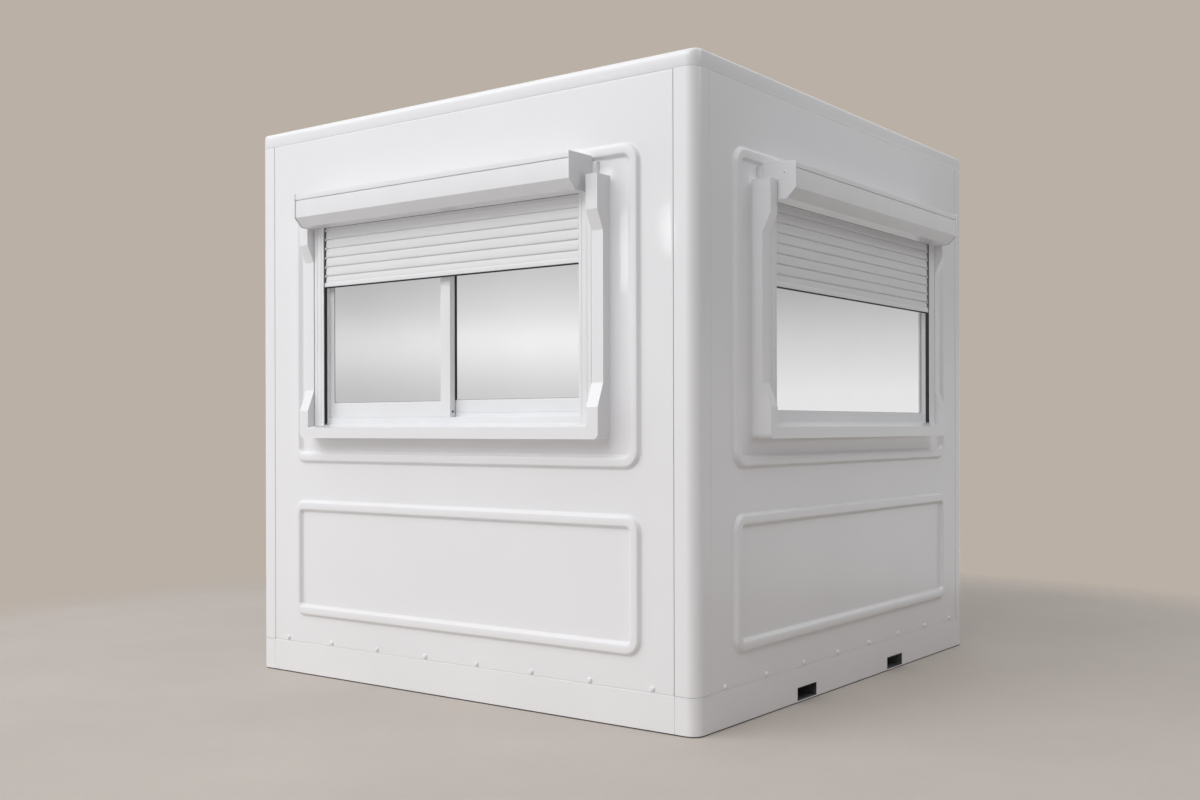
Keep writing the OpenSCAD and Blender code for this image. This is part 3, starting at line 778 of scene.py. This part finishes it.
def rivets(face):
    """Eight domed rivet heads in a row above the plinth."""
    count, reach, lift = 8, half_width(face) - 185.0, 15.0
    dome = [(10.4, -1.0), (10.4, 1.4), (10.0, 3.1), (8.7, 5.0), (6.3, 6.5), (3.3, 7.4), (0.4, 7.6)]
    form = Form()
    for i in range(count):
        form.lathe(dome, -reach + 2 * reach * i / (count - 1), PLINTH_TOP + lift, 20)
    form.build("rivets_" + face, face, "gelcoat", sharp=60.0)


for name in FACES:
    rivets(name)

# --- Windows -------------------------------------------------------------------------------

for face in WINDOW_FACES:
    softened(face + "_surround", "gelcoat", 7.0, 4, angle=16.0)
    softened(face + "_window_frame", "white_aluminium", 1.2, 2)
for name in ("front_sash_left", "front_sash_right"):
    softened(name, "white_aluminium", 1.6, 2)
for face in WINDOW_FACES:
    use_material(face + "_glass", "glass")

# --- Shutters ------------------------------------------------------------------------------

PLATE_T = 20.0              # depth of the mounting plate behind a shutter box
RAIL_W = 60.0               # width of a guide rail
EDGE_GAP = 7.0              # gap between a slat's full section and the rail's mouth
SILL_TOP, SILL_FALL = 1096.0, 7.3 / 30


def rail_mouths(face):
    """The middle between a shutter's rails, and the distance from it to each rail's mouth."""
    low, high = on_face(face + "_shutter_rails", face)
    return (high[0] + low[0]) / 2, (high[0] - low[0]) / 2 - RAIL_W


def shutter_box(face):
    """Folded sheet box: a top cover laps over the front panel, whose lower edge is sloped."""
    node = face + "_shutter_box"
    (x0, _, z0), (x1, p1, z1) = on_face(node, face)
    slope, lap, gap, gap_depth = 36.0, 21.0, 3.0, 6.0
    panel = p1 - 1.6
    section = rounded_section([
        (PLATE_T, z0, 0), (panel - slope, z0, 3.0), (panel, z0 + slope, 3.0),
        (panel, z1 - lap - gap, 0.6), (panel - gap_depth, z1 - lap - gap, 0),
        (panel - gap_depth, z1 - lap, 0), (p1, z1 - lap, 0.6), (p1, z1, 2.5),
        (PLATE_T, z1, 0)], steps=5)
    form = Form()
    form.along_x(section, x0 + (0.4 if face == "front" else 2.0), x1 - 2.0)
    form.build(face + "_box", face, "white_aluminium", [node], sharp=22.0)


def screw_head(form, x, p, z, outward):
    """A pan head on an end cap, its axis along x."""
    profile = [(4.6, -1.0), (4.6, 0.5), (4.1, 1.4), (3.0, 2.0), (1.3, 2.1), (1.3, 1.0), (0.2, 0.9)]
    form.loft([[(x + outward * out, a, b) for a, b in circle(p, z, r, 18)] for r, out in profile])


def shutter_screws(face):
    """A screw in each end cap, except in the front box's right one."""
    (x0, _, _), (x1, p1, z1) = on_face(face + "_shutter_caps", face)
    form = Form()
    for x, outward in ((x0, -1), (x1, 1)) if face != "front" else ((x0, -1),):
        screw_head(form, x, p1 - 46.0, z1 - 38.0, outward)
    form.build(face + "_cap_screws", face, "handle_metal", sharp=40.0)


def curtain(face):
    """Rolled slats: each has a rounded upper shoulder and hooks into the one above."""
    node = face + "_shutter_curtain"
    (x0, p0, z0), (x1, p1, z1) = on_face(node, face)
    pitch, first, half_t, crown = 39.0, 26.0, 4.2, 4.4
    slot_h, slot_out, hook = (2.8, -1.4, 1.0) if face == "front" else (4.2, -3.2, 1.7)
    slat = [(0.0, slot_out), (slot_h, slot_out), (slot_h + 0.1, 2.6 - hook),
            (slot_h + 0.8 * hook, 3.0), (slot_h + 2.6 * hook, 4.0), (5.7 + 2.8 * hook, crown),
            (15.0, 4.3), (23.0, 3.7), (31.0, 2.6), (38.6, 1.0)]
    middle = (p0 + p1) / 2
    back = middle - half_t
    section = [(middle + 4.0, z0)]
    base = z0 + first - pitch
    while base < z1:
        section += [(middle + out * half_t / crown, base + dz) for dz, out in slat
                    if z0 < base + dz < z1]
        base += pitch
    section += [(middle + 4.0, z1), (back, z1), (back, z0)]
    centre, mouth = rail_mouths(face)
    left, right = centre - mouth + EDGE_GAP, centre + mouth - EDGE_GAP
    form = Form()
    form.along_x(section, left, right)
    for a, b in ((x0, left + 1.0), (right - 1.0, x1)):
        form.block(a, b, back + 0.3, back + 3.0, z0 + 0.5, z1 - 0.5)
        base = z0 + first
        while base + 6.0 < z1:
            form.block(a, b, back + 0.6, middle + 4.2, base - 3.0, base + 6.0)
            base += pitch
    form.build(face + "_slats", face, "shutter_slats", [node], sharp=28.0)


def bottom_bar(face):
    """The rounded bar at the curtain's foot."""
    node = face + "_shutter_bar"
    (x0, p0, z0), (x1, p1, z1) = on_face(node, face)
    section = rounded_section([(p0, z0, 1.5), (p1, z0, 1.5), (p1, z1 - 2.0, 2.5),
                               (p1 - 2.0, z1, 0.8), (p0, z1, 1.0)], steps=4)
    form = Form()
    form.along_x(section, x0, x1)
    form.build(face + "_bar", face, "white_aluminium", [node], sharp=25.0)


def rails(face):
    """Two guide rails with a slot for the curtain and fine ribs down the front."""
    node = face + "_shutter_rails"
    (_, p0, _), (_, p1, z1) = on_face(node, face)
    centre, mouth = rail_mouths(face)
    w, slot_depth = RAIL_W, 23
    back, lip = (8.5, 3.0) if face == "front" else (9.0, 3.5)
    section = [(0, p0), (0, p0 + back), (slot_depth, p0 + back), (slot_depth, p1 - lip),
               (0, p1 - lip), (0, p1 - 0.8), (0.8, p1)]
    for rib in (13.0, 37.0):
        section += [(rib, p1), (rib + 0.6, p1 - 1.6), (rib + 2.6, p1 - 1.6), (rib + 3.2, p1)]
    section += [(w - 4.2, p1), (w - 3.2, p1 - 1.0), (w - 3.2, p1 - 14), (w, p1 - 14), (w, p0)]
    form = Form()
    for side in (-1, 1):
        loop = [(centre + side * (mouth + d), p) for d, p in section]
        form.loft([[(x, p, SILL_TOP - (p - p0) * SILL_FALL) for x, p in loop],
                   [(x, p, z1) for x, p in loop]])
    form.build(face + "_rails", face, "white_aluminium", [node], sharp=25.0)


def panes(face):
    """The sight opening of each pane as (x0, x1, z0, z1) and the p of its face."""
    if face != "front":
        low, high = on_face(face + "_glass", face)
        return [(low[0] + 9, high[0] - 9, low[2] + 9, high[2] - 9, high[1])]
    left_low, left_high = on_face("front_sash_left", face)
    right_low, right_high = on_face("front_sash_right", face)
    return [(left_low[0] + 24, left_high[0] - 53, left_low[2] + 64, left_high[2] - 24,
             left_high[1] - 4),
            (right_low[0] + 40, right_high[0] - 24, right_low[2] + 52, right_high[2] - 24,
             right_high[1] - 4)]


def meeting_stile(form):
    """The screw at the stile's foot and a black block of painted shade in the gap to the sash
    behind.
    """
    left_low, left_high = on_face("front_sash_left", "front")
    right_low, right_high = on_face("front_sash_right", "front")
    screw_head(form, left_high[0], left_high[1] - 15.0, left_low[2] + 22.0, 1)
    # Painted shade: a black block fills the gap between this stile and the sash behind
    form.block(right_low[0] + 41.0, left_high[0] + 3.6, right_high[1] - 4.5, right_high[1] + 4.6,
               right_low[2] + 53.0, left_high[2] - 26.0)


def seals(face):
    """Black parts of a window: slot brushes, the bar's rubber lip, glazing gaskets and strips of
    painted shade.
    """
    form = Form()
    rail_low, rail_high = on_face(face + "_shutter_rails", face)
    slat_low, slat_high = on_face(face + "_shutter_curtain", face)
    slat_mid = (slat_low[1] + slat_high[1]) / 2
    centre, mouth = rail_mouths(face)
    p_front, p_back = (47.0, 28.5) if face == "front" else (46.5, 29.0)
    pile = 3.2
    # Black pile in each slot; its black also paints the slot's deep shade
    brush = [(1.0, p_front), (1.0, p_front - pile), (21.6, p_front - pile),
             (21.6, p_back + pile), (1.0, p_back + pile), (1.0, p_back), (22.8, p_back),
             (22.8, p_front)]
    for side in (-1, 1):
        form.along_z([(centre + side * (mouth + d), p) for d, p in brush],
                     rail_low[2] + 9.0, rail_high[2])
        # A black strip behind the slat ends paints the shade in the slot beside them
        edge = sorted((centre + side * (mouth - EDGE_GAP), centre + side * (mouth + 0.5)))
        form.block(*edge, slat_mid - 1.0, slat_mid + 3.0, slat_low[2], slat_high[2])
    bar_low, bar_high = on_face(face + "_shutter_bar", face)
    x0, x1 = bar_low[0] + 4.0, bar_high[0] - 4.0
    mid, foot = (bar_low[1] + bar_high[1]) / 2, bar_low[2]
    strip = rounded_section([(mid - 3.5, foot + 1, 0), (mid - 3.5, foot - 5.5, 2.5),
                             (mid + 3.5, foot - 5.5, 2.5), (mid + 3.5, foot + 1, 0)], 4)
    form.along_x(strip, x0, x1)
    # A thin black strip along the box's foot paints the shade line under the box
    box_foot = on_face(face + "_shutter_box", face)[0][2]
    form.block(x0, x1, bar_high[1] - 1.0, bar_high[1] + 2.0, box_foot - 0.8, box_foot + 1.0)
    if face == "front":
        meeting_stile(form)
    for a, b, c, d, p in panes(face):
        form.ring(a - 0.5, b + 0.5, c - 0.5, d + 0.5, 1.8, p - 1.0, p + 1.2)
    form.build(face + "_seals", face, "rubber_seal", bevel=0.5, segments=1)


for face in WINDOW_FACES:
    shutter_box(face)
    softened(face + "_shutter_caps", "white_aluminium", 1.0, 2)
    shutter_screws(face)
    rails(face)
    curtain(face)
    bottom_bar(face)
    seals(face)

# The panes mirror the room, not the slim parts that stand before them
for piece in bpy.context.scene.objects:
    words = piece.name.split("_")
    if words[0] in WINDOW_FACES and not {"frame", "glass"} & set(words):
        piece.visible_glossy = False

# --- Door ----------------------------------------------------------------------------------

softened("door_frame", "white_aluminium", 2.0, 2)
softened("door_handle", "handle_metal", 1.5, 2)


def door_hinges(low, high, x, toward):
    """Three barrel hinges at x, each with a wing on the leaf; toward points to the leaf."""
    form, gap = Form(), 1.2
    for z in (low[2] + 230.0, (low[2] + high[2]) / 2, high[2] - 230.0):
        for z0, z1, r in ((z - 52.0, z - 18.0, 8.0), (z - 17.0, z + 17.0, 8.4),
                          (z + 18.0, z + 52.0, 8.0)):
            ring, cap = (arc(x, high[1] + 9.0, radius, 0, 360 - 360 / 20, 19)
                         for radius in (r, r - gap))
            form.loft([[(a, p, h) for a, p in loop] for loop, h in
                       ((cap, z0), (ring, z0 + gap), (ring, z1 - gap), (cap, z1))])
        near, far = x + toward * 4.0, x + toward * 58.0
        wing = rounded_section([(near, z - 50.0, 0), (far, z - 50.0, 8.0), (far, z + 50.0, 8.0),
                                (near, z + 50.0, 0)])
        form.loft([[(a, p, h) for a, h in wing] for p in (high[1] - 0.5, high[1] + 4.0)])
    form.build("door_hinges", "back", "white_aluminium", bevel=0.8, segments=2)


def door_lock(x, top, face_p):
    """A plate with a lock cylinder below the lever, whose lower edge is at top."""
    form = Form()
    x0, x1, z0, z1, r = x - 15.0, x + 15.0, top - 112.0, top - 52.0, 14.0
    plate = rounded_section([(x0, z0, r), (x1, z0, r), (x1, z1, r), (x0, z1, r)])
    form.loft([[(a, p, z) for a, z in plate] for p in (face_p - 0.5, face_p + 5.0)])
    form.lathe([(8.5, 4.0), (8.5, 9.0), (7.4, 10.0), (0.5, 10.0)], x, top - 76.0, p_axis=face_p)
    form.build("door_lock", "back", "handle_metal", bevel=0.8, segments=2)


def door_fittings():
    """Hinges on the side away from the lever, the lock, its keyhole and the leaf's gasket."""
    low, high = on_face("door_leaf", "back")
    handle_low, handle_high = on_face("door_handle", "back")
    lever_x, top = (handle_low[0] + handle_high[0]) / 2, handle_low[2]
    if abs(lever_x - low[0]) < abs(lever_x - high[0]):
        hinge_x, toward, lock_x = high[0], -1, low[0] + 48.0
    else:
        hinge_x, toward, lock_x = low[0], 1, high[0] - 48.0
    door_hinges(low, high, hinge_x, toward)
    door_lock(lock_x, top, high[1])
    dark = Form()
    dark.block(lock_x - 0.8, lock_x + 0.8, high[1] + 9.0, high[1] + 10.3, top - 81.0, top - 71.0)
    p0, p1 = high[1] - 8.0, high[1] - 3.0
    for x0, x1 in ((low[0] - 3.0, low[0] + 0.5), (high[0] - 0.5, high[0] + 3.0)):
        dark.block(x0, x1, p0, p1, low[2], high[2])
    dark.block(low[0] - 3.0, high[0] + 3.0, p0, p1, high[2] - 0.5, high[2] + 3.0)
    dark.build("door_gasket", "back", "rubber_seal", bevel=0.3, segments=1)


door_fittings()

# --- Floor and base ------------------------------------------------------------------------

use_material("fork_pockets", "galvanised_steel")
use_material("floor_bearers", "galvanised_steel")
use_material("floor_deck", "floor_board")

# --- Stage ---------------------------------------------------------------------------------

BACKDROP = (0.491, 0.434, 0.381)
FADE_START, FADE_END = 3.5, 4.3     # metres from the middle


def stage_floor():
    """A large pale disc whose rim fades into the background."""
    bpy.ops.mesh.primitive_circle_add(vertices=96, radius=40, fill_type="TRIFAN")
    floor = bpy.context.object
    floor.name = "floor"
    material, n, shader, place = new_material("floor", (0.6, 0.54, 0.49), Roughness=0.75)
    cloud = n.noise(place, 0.8, 5.0, 0.6)
    grain = n.noise(place, 60.0, 4.0, 0.6)
    tone = n.mix(n.spread(cloud, 0.0, 1.0, 0.35, 0.65),
                 (0.525, 0.476, 0.437, 1), (0.568, 0.515, 0.473, 1))
    tone = n.mix(n.spread(grain, 0.0, 0.25, 0.4, 0.7), tone, (0.493, 0.447, 0.411, 1))
    link(n, tone, shader, "Base Color")
    reach = n.add("ShaderNodeVectorMath", {0: place}, operation="LENGTH").outputs["Value"]
    fade = n.spread(reach, 0.0, 1.0, FADE_START, FADE_END)
    clear = n.add("ShaderNodeBsdfTransparent").outputs[0]
    mixed = n.add("ShaderNodeMixShader", {0: fade, 1: shader.outputs[0], 2: clear}).outputs[0]
    output = material.node_tree.nodes["Material Output"]
    n.tree.links.new(mixed, output.inputs["Surface"])
    floor.data.materials.append(material)


def ramp(n, value, stops):
    """Grey levels along a value, as (position, level) stops."""
    node = n.add("ShaderNodeValToRGB", {0: value})
    elements = node.color_ramp.elements
    while len(elements) < len(stops):
        elements.new(0.5)
    for element, (position, level) in zip(elements, stops):
        element.position = position
        element.color = (level, level, level, 1)
    return node.outputs[0]


def room_light(n, x, y, z):
    """Even light for surfaces, weaker from the right side and a little stronger in front."""
    rise = n.spread(z, 0.0, 1.0, -1.0, 1.0)
    room = ramp(n, rise, [(0.0, 0.44), (0.5, 0.44), (0.6, 0.51), (0.7, 0.59), (0.8, 0.61),
                          (1.0, 0.52)])
    room = n.mix(1.0, room, n.spread(x, 1.0, 0.31, 0.0, 0.9), "MULTIPLY")
    return n.mix(1.0, room, n.spread(y, 1.15, 1.0, -0.9, 0.1), "MULTIPLY")


def gloss_bands(n, x, y, z):
    """What glossy surfaces mirror: soft bands by height, other ones on the far side."""
    low_rise = n.spread(z, 0.0, 1.0, 0.0, 0.25)
    key_side = ramp(n, low_rise, [(0.0, 0.64), (0.10, 0.735), (0.146, 0.81), (0.20, 0.925),
                                  (0.24, 1.0), (0.28, 1.01), (0.36, 0.84), (0.46, 0.69),
                                  (0.56, 0.60), (1.0, 0.6)])
    far_side = ramp(n, low_rise, [(0.0, 0.92), (0.11, 0.9), (0.28, 0.70), (0.45, 0.44),
                                  (0.7, 0.42), (1.0, 0.46)])
    slant = n.math("DIVIDE", x, n.math("MINIMUM", y, -0.05))
    dimmed = n.math("MULTIPLY", key_side, n.spread(low_rise, 0.845, 0.75, 0.2, 0.36))
    key_side = n.mix(n.spread(slant, 0.0, 1.0, 0.84, 1.08), key_side, dimmed)
    side = n.math("ADD", n.math("MULTIPLY", x, 0.6), n.math("MULTIPLY", y, 0.8))
    gloss = n.mix(n.spread(side, 0.0, 1.0, -0.3, 0.3), key_side, far_side)
    overhead = ramp(n, z, [(0.0, 0.5), (0.25, 0.5), (0.5, 1.0), (1.0, 1.3)])
    return n.mix(n.spread(z, 0.0, 1.0, 0.16, 0.3), gloss, overhead)


def studio_world():
    """Room light for surfaces, a plain backdrop for the camera, soft bands for gloss."""
    world = bpy.data.worlds.new("studio")
    world.use_nodes = True
    tree = world.node_tree
    tree.nodes.clear()
    n = Nodes(tree)
    direction = n.add("ShaderNodeTexCoord").outputs["Generated"]
    x, y, z = n.add("ShaderNodeSeparateXYZ", {0: direction}).outputs
    rays = n.add("ShaderNodeLightPath").outputs
    color = n.mix(rays["Is Glossy Ray"], room_light(n, x, y, z), gloss_bands(n, x, y, z))
    seen = n.math("MAXIMUM", rays["Is Camera Ray"], rays["Is Transmission Ray"])
    color = n.mix(seen, color, (*BACKDROP, 1))
    light = n.add("ShaderNodeBackground", {0: color, 1: 1.0})
    out = n.add("ShaderNodeOutputWorld")
    tree.links.new(light.outputs[0], out.inputs[0])
    bpy.context.scene.world = world


def softbox(name, energy, size, azimuth, elevation, distance, target):
    """An area lamp facing the target; metres, watts, and degrees to the left of the front."""
    a, e = math.radians(azimuth), math.radians(elevation)
    direction = Vector((-math.sin(a) * math.cos(e), -math.cos(a) * math.cos(e), math.sin(e)))
    data = bpy.data.lights.new(name, "AREA")
    data.energy = energy
    data.size = size
    lamp = bpy.data.objects.new(name, data)
    lamp.location = direction * distance + Vector(target)
    lamp.rotation_mode = "QUATERNION"
    lamp.rotation_quaternion = direction.to_track_quat("Z", "Y")
    lamp.visible_camera = False
    bpy.context.scene.collection.objects.link(lamp)
    return lamp


stage_floor()
studio_world()
softbox("key", 785, 11, 34, 39, 16.0, (0, 0, 1.2))
softbox("front", 530, 8, -6, 34, 16.0, (0, 0, 1.2))
softbox("fill", 50, 3, 55, 5, 6.0, (-1.16, -1.225, 0.6)).visible_glossy = False
softbox("side", 29, 2, -90, 38, 3.5, (1.16, 0.35, 1.9))
# Narrow strips for the two crisp highlights on the front's upper right
for side, energy, width, height, turn, tilt, x, z in (
        ("left", 12, 0.15, 1.2, 35.6, 7.7, 0.86, 1.71),
        ("right", 8, 0.13, 0.7, 33.7, 8.6, 1.05, 1.77)):
    strip = softbox("strip_" + side, energy, width, turn, tilt, 16.0, (x, -1.225, z))
    strip.data.shape, strip.data.size_y = "RECTANGLE", height
    strip.visible_diffuse = False
bpy.context.scene.view_settings.view_transform = "Standard"
